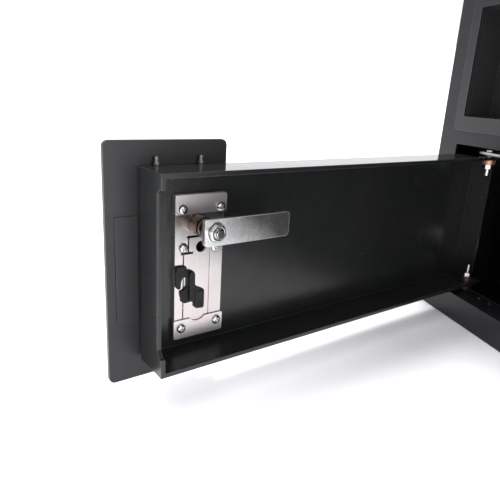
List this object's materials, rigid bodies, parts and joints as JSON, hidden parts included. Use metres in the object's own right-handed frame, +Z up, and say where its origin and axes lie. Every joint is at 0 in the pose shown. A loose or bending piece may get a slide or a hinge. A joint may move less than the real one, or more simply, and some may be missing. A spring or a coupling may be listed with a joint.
{
  "type": "wall safe",
  "caption": "Sheet-steel wall safe: door pan on vertical pivots with a mechanical push-button cam lock, and an open recessed pocket above the door.",
  "frame": {"origin": "centre of the outer face of the back panel, where the safe meets the wall", "axes": "+X to the right seen from the front, +Y into the wall along the back face's outward normal, +Z up; the door is hinged at -X and opens towards -Y"},
  "size_m": [0.406, 0.4209, 0.304],
  "materials": {
    "powder_coat": "charcoal fine-textured semi-gloss powder coat",
    "zinc": "bright zinc plating, slightly mottled",
    "stainless": "bright rolled stainless sheet",
    "dark_ring": "dark spring steel",
    "bronze": "sintered bronze, satin",
    "satin_chrome": "satin chrome plate",
    "brass": "machined brass",
    "black_plastic": "black moulded acetal, satin"
  },
  "bodies": {
    "body": {"body_shell": "powder_coat", "front_fascia": "powder_coat", "recess_tray": "powder_coat", "recess_trim": "powder_coat", "hinge_strap_top": "zinc", "hinge_strap_bottom": "zinc", "strap_screws": "zinc", "thrust_washer": "bronze"},
    "door": {"door_pan": "powder_coat", "cover_plate": "powder_coat", "cover_bumper": "powder_coat", "cover_pins": "zinc", "pivot_bolts": "zinc", "pivot_bushes": "bronze", "pivot_nuts": "zinc", "front_housing": "satin_chrome", "lock_chassis": "zinc", "lock_base_plate": "stainless", "lock_clamp_tabs": "zinc", "lock_screws": "zinc", "lock_plate_screws": "zinc", "tumbler_shaft": "stainless", "shaft_sleeve": "stainless", "sleeve_ring": "dark_ring", "button_spring_1": "stainless", "button_spring_2": "stainless", "button_spring_3": "stainless", "button_spring_4": "stainless", "button_spring_5": "stainless"},
    "knob_and_cam": {"knob": "satin_chrome", "knob_spindle": "zinc", "cam": "zinc", "cam_washer": "zinc", "cam_nut": "zinc"},
    "change_slide_body": {"change_slide": "black_plastic"},
    "push_button_1": {"button_1": "satin_chrome"},
    "tumbler_1": {"code_tumbler_1": "brass"},
    "push_button_2": {"button_2": "satin_chrome"},
    "tumbler_2": {"code_tumbler_2": "brass"},
    "push_button_3": {"button_3": "satin_chrome"},
    "tumbler_3": {"code_tumbler_3": "brass"},
    "push_button_4": {"button_4": "satin_chrome"},
    "tumbler_4": {"code_tumbler_4": "brass"},
    "push_button_5": {"button_5": "satin_chrome"},
    "tumbler_5": {"code_tumbler_5": "brass"}
  },
  "joints": [
    {"name": "door_hinge", "type": "hinge", "parent": "body", "child": "door", "pos_m": [-0.15895, -0.0785, 0], "axis": [0, 0, 1], "range_deg": [0, 69.4]},
    {"name": "knob_turn", "type": "hinge", "parent": "door", "child": "knob_and_cam", "pos_m": [-0.0669, -0.36204, -0.0349], "axis": [-0.9361, -0.3518, 0], "range_deg": [0, 180]},
    {"name": "change_slide_travel", "type": "slide", "parent": "door", "child": "change_slide_body", "axis": [0, 0, -1], "range_m": [0, 0.005]},
    {"name": "button_1_press", "type": "slide", "parent": "door", "child": "push_button_1", "axis": [0.9361, 0.3518, 0], "range_m": [0, 0.0025], "stiffness_N_per_m": 300, "springref_m": -0.001, "deforming": ["button_spring_1"]},
    {"name": "button_2_press", "type": "slide", "parent": "door", "child": "push_button_2", "axis": [0.9361, 0.3518, 0], "range_m": [0, 0.0025], "stiffness_N_per_m": 300, "springref_m": -0.001, "deforming": ["button_spring_2"]},
    {"name": "button_3_press", "type": "slide", "parent": "door", "child": "push_button_3", "axis": [0.9361, 0.3518, 0], "range_m": [0, 0.0025], "stiffness_N_per_m": 300, "springref_m": -0.001, "deforming": ["button_spring_3"]},
    {"name": "button_4_press", "type": "slide", "parent": "door", "child": "push_button_4", "axis": [0.9361, 0.3518, 0], "range_m": [0, 0.0025], "stiffness_N_per_m": 300, "springref_m": -0.001, "deforming": ["button_spring_4"]},
    {"name": "button_5_press", "type": "slide", "parent": "door", "child": "push_button_5", "axis": [0.9361, 0.3518, 0], "range_m": [0, 0.0025], "stiffness_N_per_m": 300, "springref_m": -0.001, "deforming": ["button_spring_5"]},
    {"name": "tumbler_1_turn", "type": "hinge", "parent": "door", "child": "tumbler_1", "pos_m": [-0.07785, -0.37129, -0.0537], "axis": [0, 0, -1], "range_deg": [0, 32.5]},
    {"name": "tumbler_2_turn", "type": "hinge", "parent": "door", "child": "tumbler_2", "pos_m": [-0.07785, -0.37129, -0.0642], "axis": [0, 0, -1], "range_deg": [0, 32.5]},
    {"name": "tumbler_3_turn", "type": "hinge", "parent": "door", "child": "tumbler_3", "pos_m": [-0.07785, -0.37129, -0.0747], "axis": [0, 0, -1], "range_deg": [0, 32.5]},
    {"name": "tumbler_4_turn", "type": "hinge", "parent": "door", "child": "tumbler_4", "pos_m": [-0.07785, -0.37129, -0.0852], "axis": [0, 0, -1], "range_deg": [0, 32.5]},
    {"name": "tumbler_5_turn", "type": "hinge", "parent": "door", "child": "tumbler_5", "pos_m": [-0.07785, -0.37129, -0.0957], "axis": [0, 0, -1], "range_deg": [0, 32.5]}
  ],
  "couplings": [
    {"joint": "tumbler_1_turn", "follows": "button_1_press", "rad_per_m": 223.4},
    {"joint": "tumbler_2_turn", "follows": "button_2_press", "rad_per_m": 223.4},
    {"joint": "tumbler_3_turn", "follows": "button_3_press", "rad_per_m": 223.4},
    {"joint": "tumbler_4_turn", "follows": "button_4_press", "rad_per_m": 223.4},
    {"joint": "tumbler_5_turn", "follows": "button_5_press", "rad_per_m": 223.4}
  ]
}
